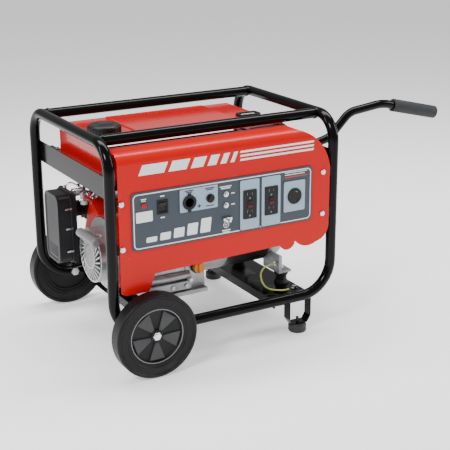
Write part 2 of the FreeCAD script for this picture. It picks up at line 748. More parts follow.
def make_cylinder():
    """Finned barrel and head in one casting, leaning back over the crankcase."""
    low = (-half_barrel, -dim.barrel_high, dim.barrel_start)
    high = (half_barrel, dim.barrel_low, head_end)
    block = lean_box("barrel_block", low, high)
    fins = []
    for n in range(6):
        z = dim.barrel_start + 16 + dim.fin_pitch * n
        outer = box(f"fin_gap_outer_{n}", (-half_barrel - 5, -dim.barrel_high - 5, z),
                    (half_barrel + 5, dim.barrel_low + 5, z + dim.fin_pitch / 2))
        inner = box(f"fin_gap_inner_{n}", (dim.fin_depth - half_barrel, dim.fin_depth - dim.barrel_high, z),
                    (half_barrel - dim.fin_depth, dim.barrel_low - dim.fin_depth, z + dim.fin_pitch / 2))
        fins.append(lean(group(f"fin_gap_turned_{n}", cut(f"fin_gap_{n}", outer, inner))))
    bore = lean_cylinder("barrel_bore", (0, 0, 0), head_start, dim.bore_radius)
    plug = lean_cylinder("plug_hole", (dim.plug_offset, -dim.barrel_high - 5, head_start + 7), 36, 6, "y")
    node("cylinder", cut("cylinder_cut", block, *fins, bore, plug, case_outer))
    inset = 10
    cover = box("valve_cover_block", (inset - half_barrel, 8 - dim.barrel_high, head_end),
                (half_barrel - inset, dim.barrel_low - 6, head_end + dim.valve_cover_depth))
    softened = round_edges("valve_cover_round", cover, 7, lambda edge: not is_flat(edge, head_end))
    node("valve_cover", lean(group("valve_cover_turned", softened)))
    porcelain = cylinder("plug_body", (dim.plug_offset, -dim.barrel_high - 34, head_start + 7), 60,
                         6 - dim.slip, "y")
    boot = cylinder("plug_boot", (dim.plug_offset, -dim.barrel_high - 40, head_start + 7), 38, 10, "y")
    node("spark_plug", lean(group("spark_plug_turned", fuse("spark_plug_parts", porcelain, boot))))


def is_flat(edge, level):
    """True for edges that lie at one height along the cylinder's axis."""
    return all(abs(vertex.Z - value(level)) < 0.01 for vertex in edge.Vertexes)


make_cylinder()


def make_crank():
    middle = dim.cylinder_x
    half_pin = dim.pin_width / 2
    web_end = half_pin + dim.web_width
    left = cylinder("crank_left", on_crank(dim.flywheel_x - 4), middle - web_end - dim.flywheel_x + 5,
                    dim.shaft_radius, "x")
    right = cylinder("crank_right", on_crank(middle + web_end - 1), cover_end - middle - web_end - 4,
                     dim.shaft_radius, "x")
    webs = [
        cylinder(f"crank_web_{n}", on_crank(start), dim.web_width, dim.web_radius, "x")
        for n, start in enumerate((middle - web_end, middle + half_pin))
    ]
    pin_y = dim.crank_y + dim.throw * math.cos(tilt)
    pin_z = dim.crank_height + dim.throw * math.sin(tilt)
    pin = cylinder("crank_pin", (along(middle - half_pin - 1), pin_y, pin_z), dim.pin_width + 2,
                   dim.crankpin_radius * 0.75, "x")
    node("crankshaft", fuse("crankshaft_forging", left, right, *webs, pin))
    bore = dim.shaft_radius
    wheel = dim.flywheel_radius
    blade = 12
    disc = revolved("flywheel_disc", "XZ_Plane", [
        (0, bore), (dim.flywheel_width, bore), (dim.flywheel_width, wheel - 14),
        (dim.flywheel_width - 6, wheel), (14, wheel), (10, bore + 14), (0, bore + 10),
    ])
    place(disc, on_crank(dim.flywheel_x))
    blades = []
    for n in range(blade):
        fin = box(f"flywheel_fin_{n}", (dim.flywheel_x, 0, 0), (dim.flywheel_x + 16, 3, wheel - 34))
        fin.Placement = Placement(Vector(), Rotation(Vector(1, 0, 0), 360 / blade * n)).multiply(
            Placement(Vector(0, 0, value(bore) + 20), Rotation()))
        for letter in "xyz":
            fin.setExpression(f"Placement.Base.{letter}", None)
        blades.append(fin)
    fan = place(group("flywheel_fan", *blades), on_crank(dim.flywheel_x))
    node("flywheel", fuse("flywheel_casting", disc, fan))
    start = dim.throw + dim.rod_length - dim.piston_height / 2
    crown = lean_cylinder("piston_crown", (0, 0, start), dim.piston_height, dim.bore_radius - dim.piston_gap)
    hollow = lean_cylinder("piston_hollow", (0, 0, start - 1), dim.piston_height - 9, dim.bore_radius - 6)
    pin = lean_cylinder("piston_pin", (1 - dim.bore_radius + 3, 0, start + dim.piston_height / 2),
                        dim.bore_radius * 2 - 8, 8, "x")
    node("piston", fuse("piston_parts", cut("piston_skirt", crown, hollow), pin))


make_crank()


def make_shroud():
    """Red sheet fan housing round the flywheel, with a duct to the cylinder's fins."""
    wall = dim.shroud_wall
    left = dim.shroud_left
    depth = dim.shroud_back - left
    half = depth / 2
    outer_ring = cylinder("shroud_outer", on_crank(left), depth, dim.shroud_radius, "x")
    inner_ring = cylinder("shroud_inner", on_crank(left - 1), depth - wall + 1, dim.shroud_radius - wall, "x")
    duct_outer = lean(group("duct_outer", box("duct_outer_block", (-half, -dim.duct_high, 0),
                                              (half, dim.duct_low, dim.duct_reach))), left + half)
    duct_inner = lean(group("duct_inner", box("duct_inner_block",
                                              (wall - half, wall - dim.duct_high, 0),
                                              (half - wall, dim.duct_low - wall, dim.duct_reach - wall))),
                      left + half)
    hole = cylinder("shroud_shaft_hole", on_crank(left), depth * 2, dim.shaft_radius + 14, "x")
    body = fuse("shroud_body", outer_ring, duct_outer)
    node("fan_shroud", cut("fan_shroud_cut", body, inner_ring, duct_inner, hole))


make_shroud()


def make_recoil():
    """Pull starter: slotted housing, reel on a centre pin, wound rope and T grip."""
    wall = dim.recoil_wall
    face = dim.shroud_left - dim.recoil_depth
    rim = dim.recoil_radius
    cup = cylinder("recoil_cup", on_crank(face), dim.recoil_depth, rim, "x")
    space = cylinder("recoil_space", on_crank(face + wall), dim.recoil_depth, rim - wall, "x")
    flange_ring = cylinder("recoil_flange", on_crank(dim.shroud_left - wall), wall,
                           dim.shroud_radius - dim.shroud_wall - dim.gap, "x")
    flange_hole = cylinder("recoil_flange_hole", on_crank(dim.shroud_left - wall - 1), wall * 2,
                           rim - wall, "x")
    post = cylinder("recoil_post", on_crank(face + 1), dim.recoil_depth - 8, dim.reel_pin, "x")
    slots = []
    for n in range(int(value(dim.slot_count))):
        slot = box(f"recoil_slot_{n}", (0, -dim.slot_half, dim.recoil_radius * 0.6),
                   (dim.short_drill, dim.slot_half, dim.recoil_radius * 0.82))
        for letter in "xyz":
            slot.setExpression(f"Placement.Base.{letter}", None)
        turn = Rotation(Vector(1, 0, 0), (n + 0.5) * 360 / value(dim.slot_count))
        slot.Placement = Placement(Vector(), turn).multiply(
            Placement(Vector(-10, -value(dim.slot_half), value(rim) * 0.6), Rotation()))
        slots.append(slot)
    cutters = place(group("recoil_slots", *slots), on_crank(face))
    eyelet = cylinder("recoil_eyelet", (along(face - 5), dim.eyelet_y, dim.eyelet_height), dim.drill,
                      dim.rope_radius + dim.gap, "x")
    shell = cut("recoil_shell", fuse("recoil_solid", cup, flange_ring), space, flange_hole)
    node("recoil_housing", cut("recoil_cut", fuse("recoil_with_post", shell, post), cutters, eyelet))

    reel_x = face + wall + 6
    core = dim.reel_core
    edge = dim.reel_radius
    width = dim.reel_width
    reel = revolved("reel_spool", "XZ_Plane", [
        (0, dim.reel_pin + dim.running), (width, dim.reel_pin + dim.running),
        (width, edge), (width - 2, edge),
        (width - 2, core), (2, core), (2, edge), (0, edge),
    ])
    node("recoil_reel", place(reel, on_crank(reel_x)))
    coil = cylinder("rope_coil", on_crank(reel_x + 2), width - 4, edge - 4, "x")
    node("starter_rope", cut("rope_ring", coil, cylinder("rope_middle", on_crank(reel_x), width, core, "x")))

    grip_x = face - dim.starter_grip_radius - 2
    half = dim.starter_grip_length / 2
    bar = cylinder("starter_bar", (along(grip_x), dim.eyelet_y - half, dim.eyelet_height + 6),
                   dim.starter_grip_length, dim.starter_grip_radius, "y")
    soft = round_edges("starter_bar_round", bar, dim.starter_grip_radius * 0.55, lambda edge: edge.Closed)
    stem = cone("starter_stem", (along(grip_x), dim.eyelet_y, dim.eyelet_height),
                dim.starter_grip_radius + 1.5,
                8, 5, "x")
    node("starter_grip", fuse("starter_grip_parts", soft, stem))


make_recoil()


def make_intake():
    """Carburettor on the head's left port, then the filter base, foam and clipped cover."""
    port_y = dim.crank_y + dim.carb_along * math.cos(tilt) - dim.carb_above * math.sin(tilt)
    port_z = dim.crank_height + dim.carb_along * math.sin(tilt) + dim.carb_above * math.cos(tilt)
    head_left = dim.cylinder_x - half_barrel
    start = head_left - dim.carb_length
    flange = box("carb_flange", (along(head_left - 5), port_y - 30, port_z - 20),
                 (along(head_left), port_y + 30, port_z + 20))
    barrel = cylinder("carb_barrel", (along(start), port_y, port_z), dim.carb_length - 1,
                      dim.carb_radius, "x")
    bowl_x = start + dim.carb_length * 0.5
    bowl = cylinder("carb_bowl", (along(bowl_x), port_y, port_z - dim.bowl_height - dim.bowl_drop),
                    dim.bowl_height, dim.bowl_radius)
    tower = box("carb_tower", (along(bowl_x - 14), port_y - 14, port_z - dim.bowl_drop),
                (along(bowl_x + 14), port_y + 14, port_z + dim.carb_radius + 8))
    throat = cylinder("carb_throat", (along(start - 5), port_y, port_z), dim.carb_length + 20,
                      dim.throat_radius, "x")
    lever_hole = cylinder("choke_hole", (along(bowl_x - 6), port_y, port_z + 12), 40, 2.5 + dim.running)
    node("carburettor", cut("carburettor_cut", fuse("carb_casting", flange, barrel, bowl, tower), throat,
                            lever_hole))
    top = port_z + dim.carb_radius + 8
    stem = cylinder("choke_stem", (along(bowl_x - 6), port_y, port_z + 13), dim.carb_radius + 4, 2.5)
    arm = box("choke_arm", (along(bowl_x - 10), port_y - 38, top + dim.gap), (along(bowl_x - 2), port_y + 4,
                                                                          top + dim.gap + 3))
    node("choke_lever", fuse("choke_lever_parts", stem, arm))

    tap_z = port_z - dim.bowl_height - dim.bowl_drop
    body_x = start + 6
    tap = cylinder("tap_stem", (along(body_x), port_y + dim.bowl_radius, tap_z + 14), 22, 4, "y")
    paddle = box("tap_paddle", (along(body_x - 5), port_y + dim.bowl_radius + 20, tap_z + 9),
                 (along(body_x + 18), port_y + dim.bowl_radius + 26, tap_z + 19))
    node("fuel_valve_lever", fuse("fuel_valve_parts", tap, paddle))

    cover_x = dim.filter_face + dim.filter_cover_depth
    wall = dim.filter_wall
    low_y, high_y = dim.filter_front, dim.filter_back
    low_z, high_z = dim.filter_bottom, dim.filter_top
    base_plate = box("filter_plate", (along(cover_x), low_y + 2, low_z + 2),
                     (along(cover_x + dim.filter_base_depth), high_y - 2, high_z - 2))
    elbow = cylinder("filter_neck", (along(cover_x), port_y, port_z), start - cover_x - dim.gap / 2,
                     dim.carb_radius + 2, "x")
    air_way = cylinder("filter_way", (along(cover_x - 5), port_y, port_z), 120, dim.throat_radius, "x")
    node("air_filter_base", cut("filter_base_cut", fuse("filter_base_solid", base_plate, elbow), air_way))
    margin = dim.foam_margin
    foam = box("foam_block", (along(dim.filter_face + wall + 4), low_y + margin, low_z + margin),
               (along(cover_x - dim.gap / 2), high_y - margin, high_z - margin))
    node("air_filter_foam", foam)
    lid = box("filter_lid", (along(dim.filter_face), low_y, low_z),
              (along(cover_x - dim.gap / 4), high_y, high_z))

    def outer_edge(edge):
        if runs_along("x")(edge):
            return True
        return all(abs(vertex.X - value(along(dim.filter_face))) < 0.01 for vertex in edge.Vertexes)

    lid_round = round_edges("filter_lid_round", lid, dim.filter_corner, outer_edge)
    space = box("filter_lid_space", (along(dim.filter_face + wall), low_y + wall, low_z + wall),
                (along(cover_x + 5), high_y - wall, high_z - wall))
    space_round = round_edges("filter_space_round", space, dim.filter_corner - wall, runs_along("x"))
    node("air_filter_cover", cut("filter_cover_cut", lid_round, space_round))
    return port_y, port_z


port_y, port_z = make_intake()


def make_exhaust():
    left = dim.muffler_x
    low = (along(left), dim.muffler_front, dim.muffler_bottom)
    high = (along(left + dim.muffler_length), dim.muffler_front + dim.muffler_depth,
            dim.muffler_bottom + dim.muffler_height)
    wall = dim.muffler_wall
    box_outer = round_edges("muffler_round", box("muffler_outer", low, high), dim.muffler_round, runs_along("x"))
    box_inner = box("muffler_inner", tuple(side + 9 for side in low), tuple(side - 9 for side in high))
    head_right = dim.cylinder_x + half_barrel
    pipe = cylinder("exhaust_pipe", (along(head_right), port_y, port_z), left - head_right + 12,
                    dim.exhaust_radius, "x")
    pipe_way = cylinder("exhaust_way", (along(head_right - 1), port_y, port_z), left - head_right + 14,
                        dim.exhaust_radius - wall, "x")
    outlet_y = dim.muffler_front + dim.muffler_depth - 30
    outlet_z = dim.muffler_bottom + dim.muffler_height - 34
    outlet_x = left + dim.muffler_length - 10
    spout = cylinder("exhaust_spout", (along(outlet_x), outlet_y, outlet_z), dim.exhaust_length + 10,
                     dim.exhaust_radius, "x")
    mouth = cylinder("exhaust_mouth", (along(outlet_x + 10), outlet_y, outlet_z), dim.exhaust_length + 5,
                     dim.exhaust_bore, "x")
    node("muffler", cut("muffler_cut", fuse("muffler_solid", box_outer, pipe, spout), box_inner, pipe_way,
                        mouth))


make_exhaust()


def make_oil_cap():
    face = dim.case_front - dim.gap / 2
    z = dim.oil_height
    x = along(dim.oil_x)
    knob = cylinder("oil_knob", (x, face - dim.oil_cap_depth, z), dim.oil_cap_depth, dim.oil_cap_radius, "y")
    wing = box("oil_wing", (x - 4, face - dim.oil_cap_depth - 5, z - dim.oil_cap_radius + 2),
               (x + 4, face - dim.oil_cap_depth + 1, z + dim.oil_cap_radius - 2))
    plug = cylinder("oil_plug", (x, face - 1, z), 14, dim.oil_cap_radius * 0.7, "y")
    stick = cylinder("dipstick", (x, face, z), dim.dipstick_length, 2, "y")
    node("oil_cap", fuse("oil_cap_parts", knob, wing, plug, stick))


make_oil_cap()


# ---------------------------------------------------------------- alternator and its mounts

def make_alternator():
    ring = cylinder("stator_outer", on_crank(bell_end), dim.stator_length, dim.bell_radius, "x")
    hole = cylinder("stator_hole", on_crank(bell_end), dim.stator_length, dim.stator_bore, "x")
    node("stator", cut("stator_ring", ring, hole))
    inset = dim.rotor_inset
    core = cylinder("rotor_core", on_crank(bell_end + inset), dim.stator_length - inset * 2,
                    dim.rotor_radius, "x")
    shaft = cylinder("rotor_bore", on_crank(bell_end), dim.stator_length, dim.shaft_radius, "x")
    node("rotor", cut("rotor_cut", core, shaft))
    cup = cylinder("end_cup", on_crank(stator_end), dim.cover_length, dim.bell_radius, "x")
    cup_round = round_edges("end_cup_round", cup, 14,
                            lambda edge: edge.Closed and edge.BoundBox.XMin > value(along(cover_end)) - 1)
    space = cylinder("end_space", on_crank(stator_end - 1), dim.cover_length - dim.cover_wall + 1,
                     dim.bell_radius - dim.cover_wall, "x")
    bearing = cylinder("end_bearing", on_crank(stator_end), dim.cover_length * 2,
                       dim.shaft_radius + dim.running,
                       "x")
    feet = []
    top = dim.floor_top + dim.mount_right_height
    for n, y in enumerate((dim.mount_front_y, dim.mount_back_y)):
        inner_y = dim.crank_y + (45 if n else -45)
        low_y, high_y = sorted((y - 16 if n == 0 else y + 16, inner_y), key=value)
        pad = box(f"end_foot_{n}", (along(stator_end + 4), low_y, top),
                  (along(dim.mount_right_x + 20), high_y, top + dim.foot_plate))
        arm = box(f"end_arm_{n}", (along(stator_end + 4), low_y, top),
                  (along(stator_end + 12), high_y, top + 46))
        feet.extend([pad, arm])
    holes = [
        cylinder(f"end_foot_hole_{n}", (along(x), y, top - 5), dim.short_drill, dim.bolt_radius)
        for n, (x, y) in enumerate(mount_places("right"))
    ]
    solid = fuse("end_cover_solid", cup_round, *feet)
    node("alternator_end_cover", cut("end_cover_cut", solid, space, bearing, *holes))


make_alternator()


def spool(name, x, y, low, high):
    """Rubber mount: two flanges joined by a narrow waist, with a stud through it."""
    edge = dim.mount_radius
    tall = as_size(high) - low
    body = revolved(name, "XZ_Plane", [
        (dim.bolt_radius, 0), (edge, 0), (edge, 4), (dim.mount_waist, tall * 0.35),
        (dim.mount_waist, tall * 0.65), (edge, tall - 4), (edge, tall), (dim.bolt_radius, tall),
    ], "V_Axis")
    return place(body, (along(x), y, low))


def make_mounts():
    spools = []
    studs = []
    flange_top = dim.case_bottom + dim.base_flange
    foot_bottom = dim.floor_top + dim.mount_right_height
    for n, (x, y) in enumerate(mount_places("left")):
        spools.append(spool(f"engine_spool_{n}", x, y, dim.floor_top, dim.case_bottom))
        studs.append(stud(f"engine_stud_{n}", x, y, dim.floor_top - dim.sheet, flange_top))
    for n, (x, y) in enumerate(mount_places("right")):
        spools.append(spool(f"alternator_spool_{n}", x, y, dim.floor_top, foot_bottom))
        studs.append(stud(f"alternator_stud_{n}", x, y, dim.floor_top - dim.sheet,
                          foot_bottom + dim.foot_plate))
    node("rubber_mounts", group("rubber_mount_set", *spools))
    return studs


def stud(name, x, y, low, high, radius=None):
    """An upright bolt with a nut over high and a head under low."""
    size = radius or dim.bolt_radius - dim.slip
    shank = cylinder(f"{name}_shank", (along(x), y, low), high - low, size)
    head = hexagon(f"{name}_head", (along(x), y, low - 5), 5, size * 1.9)
    nut = hexagon(f"{name}_nut", (along(x), y, high), 6, size * 1.9)
    tip = cylinder(f"{name}_tip", (along(x), y, high), 10, size)
    return fuse(name, shank, head, nut, tip)


bolt_solids = make_mounts()


# ---------------------------------------------------------------- fuel tank

def tank_prism(name, inset, low, high, slope):
    """A block of the tank's plan; its right end slopes down when slope is true."""
    left = dim.tank_left + inset
    right = dim.tank_right - inset
    corners = [(along(left), low), (along(right), low)]
    if slope:
        corners += [(along(right), high - dim.tank_slope_drop), (along(dim.tank_slope_start), high)]
    else:
        corners += [(along(right), high)]
    corners += [(along(left), high)]
    start = -(dim.tank_back - inset)
    length = dim.tank_back - dim.tank_front - inset * 2
    return padded(name, "XZ_Plane", corners, start, length)


def make_tank():
    wall = dim.tank_wall
    flange_top = dim.tank_seat + dim.seam_thickness
    block = tank_prism("tank_upper_block", dim.seam_flange, dim.tank_seat, dim.tank_top, True)
    upper = round_edges("tank_upper", block, dim.tank_corner,
                        lambda edge: edge.BoundBox.ZMax > value(flange_top) + 5)
    upper_inner = tank_prism("tank_upper_space", dim.seam_flange + wall, dim.tank_seat - 1,
                             dim.tank_top - wall, True)
    flange = round_edges("tank_flange", tank_prism("tank_flange_block", 0, dim.tank_seat, flange_top, False),
                         dim.tank_corner, runs_along("z"))
    pan_low = dim.tank_seat - dim.tank_pan
    pan = tank_prism("tank_pan", dim.pan_inset, pan_low, dim.tank_seat + 1, False)
    pan_inner = tank_prism("tank_pan_space", dim.pan_inset + wall, pan_low + wall, dim.tank_seat + 2, False)
    panel = box("tank_panel", (along(dim.filler_x + 70), dim.tank_front + dim.panel_inset_y, dim.tank_top - 1),
                (along(dim.gauge_x - 48), dim.tank_back - dim.panel_inset_y, dim.tank_top + dim.panel_rise))
    raised = round_edges("tank_panel_round", panel, 3,
                         lambda edge: edge.BoundBox.ZMin > value(dim.tank_top) + 1)
    neck = cylinder("filler_neck", (along(dim.filler_x), dim.filler_y, dim.tank_top - 6), dim.neck_height + 6,
                    dim.neck_radius)
    way = cylinder("filler_way", (along(dim.filler_x), dim.filler_y, dim.tank_top - 10), 40,
                   dim.neck_radius - wall)
    gauge_hole = cylinder("gauge_hole", (along(dim.gauge_x), dim.gauge_y, dim.tank_top - 8),
                          dim.short_drill, dim.gauge_bore)
    holes = [
        cylinder(f"tank_hole_{side}_{n}", (along(bolt_x * side), y, dim.tank_seat - 5),
                 dim.short_drill, dim.screw_radius)
        for side in (-1, 1) for n, y in enumerate(ledge_bolts)
    ]
    body = fuse("tank_solid", upper, flange, pan, raised, neck)
    node("fuel_tank", cut("fuel_tank_cut", body, upper_inner, pan_inner, way, gauge_hole, *holes))

    seal_z = dim.tank_top + dim.neck_height
    ring = cylinder("seal_ring", (along(dim.filler_x), dim.filler_y, seal_z), dim.seal_thickness,
                    dim.neck_radius + 3)
    ring_hole = cylinder("seal_hole", (along(dim.filler_x), dim.filler_y, seal_z - 1), 10,
                         dim.neck_radius - wall * 2)
    node("fuel_cap_seal", cut("fuel_cap_seal_cut", ring, ring_hole))
    seat = dim.neck_height + dim.seal_thickness
    top = dim.cap_height
    edge = dim.cap_radius
    skirt = 1.5
    cap = revolved("fuel_cap_turned", "XZ_Plane", [
        (0, seat), (dim.neck_radius + 5, seat), (edge - dim.cap_wall, seat - 4), (edge - dim.cap_wall, skirt),
        (edge, skirt), (edge, top - 6), (edge - 5, top), (0, top + 3),
    ], "V_Axis")
    node("fuel_cap", place(cap, (along(dim.filler_x), dim.filler_y, dim.tank_top)))

    half_x = dim.gauge_length / 2
    half_y = dim.gauge_width / 2
    bezel = box("gauge_bezel", (along(dim.gauge_x - half_x), dim.gauge_y - half_y, dim.tank_top),
                (along(dim.gauge_x + half_x), dim.gauge_y + half_y, dim.tank_top + dim.gauge_height))
    bezel_round = round_edges("gauge_bezel_round", bezel, 4, runs_along("z"))
    window = box("gauge_window", (along(dim.gauge_x - half_x + 8), dim.gauge_y - half_y + 8,
                                  dim.tank_top + dim.gauge_height - 2),
                 (along(dim.gauge_x + half_x - 8), dim.gauge_y + half_y - 8, dim.tank_top + 30))
    stem = cylinder("gauge_stem", (along(dim.gauge_x), dim.gauge_y, dim.tank_top - 20), 22,
                    dim.gauge_bore - dim.slip)
    node("fuel_gauge", cut("fuel_gauge_cut", fuse("gauge_solid", bezel_round, stem), window))


make_tank()


# ---------------------------------------------------------------- front cover

window_left = dim.panel_left + dim.panel_lap
window_right = dim.panel_right - dim.panel_lap
window_low = dim.panel_low + dim.panel_lap
window_high = dim.panel_high - dim.panel_lap


def cover_outline():
    """The sheet's outline seen from the front: straight sides, a big top corner and two lobes."""
    left = along(-dim.cover_half)
    right = along(dim.cover_half)
    low = dim.cover_low
    step = low + dim.cover_step
    top = dim.cover_high + 1
    shoulder = dim.cover_shoulder
    corner = 14
    lobe = 12

    def at(x, z):
        return point(x, 0, z)

    def bow(start, middle, end):
        return Part.Arc(at(*start), at(*middle), at(*end)).toShape()

    def line(start, end):
        return Part.LineSegment(at(*start), at(*end)).toShape()

    notch = 180
    tip = 0.3
    edges = [
        line((left, top), (left, low + corner)),
        bow((left, low + corner), (left + corner * tip, low + corner * tip), (left + corner, low)),
        line((left + corner, low), (along(dim.skirt_start), low)),
        line((along(dim.skirt_start), low), (along(dim.skirt_end), step)),
        line((along(dim.skirt_end), step), (along(notch - 42), step + 7)),
        bow((along(notch - 42), step + 7), (along(notch - 28), step - 6), (along(notch), step + lobe)),
        bow((along(notch), step + lobe), (along(notch + 20), step - 3), (along(notch + 60), step)),
        bow((along(notch + 60), step), (right - 12, step + 12), (right, step + 36)),
        line((right, step + 36), (right, top - shoulder * 1.4)),
        bow((right, top - shoulder * 1.4), (right - shoulder * 0.3, top - shoulder * 0.4),
            (right - shoulder, top)),
        line((right - shoulder, top), (left, top)),
    ]
    return Part.Wire(edges)


def rolled_sheet():
    """The sheet's section: flat face, rolled top and a flat return under the top tube."""
    face = face_y.value
    back = value(cover_back)
    radius = value(dim.cover_roll)
    thickness = value(dim.cover_sheet)
    top = value(dim.cover_high)
    low = value(dim.cover_low)
    end = face + value(dim.cover_return)
    x = value(along(-dim.cover_half))
    middle = math.sqrt(0.5)

    def at(y, z):
        return Vector(x, y, z)

    centre_y = face + radius
    centre_z = top - radius
    inner = radius - thickness
    edges = [
        Part.LineSegment(at(face, low), at(face, centre_z)).toShape(),
        Part.Arc(at(face, centre_z), at(centre_y - radius * middle, centre_z + radius * middle),
                 at(centre_y, top)).toShape(),
        Part.LineSegment(at(centre_y, top), at(end, top)).toShape(),
        Part.LineSegment(at(end, top), at(end, top - thickness)).toShape(),
        Part.LineSegment(at(end, top - thickness), at(centre_y, top - thickness)).toShape(),
        Part.Arc(at(centre_y, top - thickness), at(centre_y - inner * middle, centre_z + inner * middle),
                 at(back, centre_z)).toShape(),
        Part.LineSegment(at(back, centre_z), at(back, low)).toShape(),
        Part.LineSegment(at(back, low), at(face, low)).toShape(),
    ]
    section = Part.Face(Part.Wire(edges))
    return section.extrude(Vector(value(dim.cover_half * 2), 0, 0))


def make_cover():
    outline = Part.Face(cover_outline())
    outline.translate(Vector(0, -2 * value(dim.cover_face), 0))
    prism = outline.extrude(Vector(0, 3 * value(dim.cover_face), 0))
    skin = shape("cover_skin", rolled_sheet().common(prism))
    window = box("cover_window", (along(window_left), face_y - 5, window_low),
                 (along(window_right), cover_back + 5, window_high))
    holes = [
        cylinder(f"cover_hole_{n}", (along(x), face_y - 5, z), dim.short_drill, dim.screw_radius, "y")
        for n, (x, z) in enumerate(cover_screw_places())
    ]
    node("front_cover", cut("front_cover_cut", skin, window, *holes))


def cover_screw_places():
    return [(x, z) for x in (dim.screw_left, dim.screw_right) for z in (dim.screw_low, dim.screw_high)]


make_cover()


# ---------------------------------------------------------------- control panel

panel_face = face_y - dim.panel_sheet
plate_face = panel_face - dim.plate_sheet


def recess(name, x, z, width, tall, depth=30):
    """A rectangular cutter through the panel, wider than its device by the slip."""
    half = as_size(width) / 2 + dim.slip
    rise = as_size(tall) / 2 + dim.slip
    return box(name, (along(x - half), face_y - depth, z - rise), (along(x + half), face_y + depth, z + rise))


def round_recess(name, x, z, radius):
    return cylinder(name, (along(x), face_y - 20, z), 40, radius + dim.slip, "y")


def device_cutters(tag):
    cutters = [
        round_recess(f"{tag}_lamp", dim.lamp_x, dim.lamp_height, dim.lamp_radius * 0.8),
        recess(f"{tag}_switch", dim.switch_x, dim.switch_height, dim.switch_width - 4, dim.switch_tall - 4),
        round_recess(f"{tag}_socket", dim.socket_x, dim.socket_height, dim.socket_bore + 3),
        round_recess(f"{tag}_dc", dim.dc_breaker_x, dim.dc_breaker_height, dim.dc_collar - 2),
        round_recess(f"{tag}_ac_high", dim.ac_breaker_x, dim.ac_breaker_high, dim.ac_collar - 1.5),
        round_recess(f"{tag}_ac_low", dim.ac_breaker_x, dim.ac_breaker_low, dim.ac_collar - 1.5),
        round_recess(f"{tag}_terminal", dim.terminal_x, dim.terminal_height, dim.terminal_radius),
        round_recess(f"{tag}_twist", dim.twist_x, dim.twist_height, dim.twist_radius),
    ]
    for n, x in enumerate((dim.outlet_left_x, dim.outlet_right_x)):
        cutters.append(recess(f"{tag}_outlet_{n}", x, dim.outlet_height, dim.outlet_width, dim.outlet_tall))
    return cutters


def plate(name, left, right, low, high):
    block = box(name, (along(left), plate_face, low), (along(right), panel_face, high))
    return round_edges(f"{name}_round", block, 3, runs_along("y"))


def make_panel():
    block = box("panel_block", (along(dim.panel_left), panel_face, dim.panel_low),
                (along(dim.panel_right), face_y, dim.panel_high))
    rounded = round_edges("panel_round", block, dim.panel_corner, runs_along("y"))
    sheet_part = cut("panel_sheet_cut", rounded, *device_cutters("panel"))
    half = dim.outlet_plate_width / 2
    plates = [
        plate("dc_plate", dim.dc_plate_left, dim.dc_plate_right, dim.dc_plate_low, dim.dc_plate_high),
        plate("twist_plate", dim.twist_x - dim.twist_plate_width / 2, dim.twist_x + dim.twist_plate_width / 2,
              dim.twist_height - dim.twist_plate_tall / 2, dim.twist_height + dim.twist_plate_tall / 2),
    ]
    for n, x in enumerate((dim.outlet_left_x, dim.outlet_right_x)):
        plates.append(plate(f"outlet_plate_{n}", x - half, x + half, dim.outlet_plate_low,
                            dim.outlet_plate_high))
    cut_plates = [
        cut(f"{part.Name}_cut", part, *device_cutters(part.Name)) for part in plates
    ]
    node("control_panel", group("control_panel_set", sheet_part, *cut_plates))


make_panel()


def make_switch():
    x = along(dim.switch_x)
    z = dim.switch_height
    half = dim.switch_width / 2
    rise = dim.switch_tall / 2
    bezel = box("switch_bezel", (x - half, panel_face - 2, z - rise), (x + half, panel_face, z + rise))
    body = box("switch_box", (x - half + 2, panel_face - 1, z - rise + 2),
               (x + half - 2, panel_face + dim.switch_depth, z + rise - 2))
    well = box("switch_well", (x - half + 4, panel_face - 5, z - rise + 4),
               (x + half - 4, panel_face + dim.switch_depth - 3, z + rise - 4))
    node("engine_switch_body", cut("switch_body_cut", fuse("switch_solid", bezel, body), well))
    arm = dim.rocker_radius
    axis_y = panel_face + dim.rocker_axis
    left = x - half + 4 + dim.slip
    width = dim.switch_width - 8 - dim.slip * 2
    drum = cylinder("switch_drum", (left, axis_y, z), width, arm, "x")
    front_half = box("switch_drum_front", (left - 1, axis_y - arm * 2, z - arm * 2),
                     (left + width + 1, axis_y, z + arm * 2))
    corners = [(axis_y, z - arm), (panel_face, z - arm), (panel_face, z),
               (panel_face - dim.rocker_proud, z + arm), (axis_y, z + arm)]
    faces = padded("switch_faces", "YZ_Plane", corners, left, width)
    node("engine_switch_rocker",
         fuse("switch_rocker_parts", cut("switch_drum_back", drum, front_half), faces))


make_switch()


def make_lamp():
    spot = (along(dim.lamp_x), panel_face - 4, dim.lamp_height)
    dome = cylinder("lamp_dome", spot, 4, dim.lamp_radius, "y")
    soft = round_edges("lamp_dome_round", dome, 2.5,
                       lambda edge: edge.Closed and edge.BoundBox.YMax < value(panel_face) - 2)
    body = cylinder("lamp_body", (spot[0], panel_face - 1, spot[2]), 20, dim.lamp_radius * 0.8, "y")
    node("oil_lamp", fuse("oil_lamp_parts", soft, body))


make_lamp()


def make_socket():
    x = along(dim.socket_x)
    z = dim.socket_height
    front = plate_face - 3
    flange = cylinder("socket_flange", (x, front, z), 3, dim.socket_radius, "y")
    barrel = cylinder("socket_barrel", (x, front + 1, z), dim.socket_depth, dim.socket_bore + 3, "y")
    bore = cylinder("socket_hole", (x, front - 5, z), dim.socket_depth + 3, dim.socket_bore, "y")
    tabs = [
        box(f"socket_tab_{n}", (x - 4, front, z + low), (x + 4, plate_face, z + high))
        for n, (low, high) in enumerate(((14, 21), (-21, -14)))
    ]
    node("dc_socket", cut("dc_socket_shell", fuse("socket_solid", flange, barrel, *tabs), bore))


make_socket()


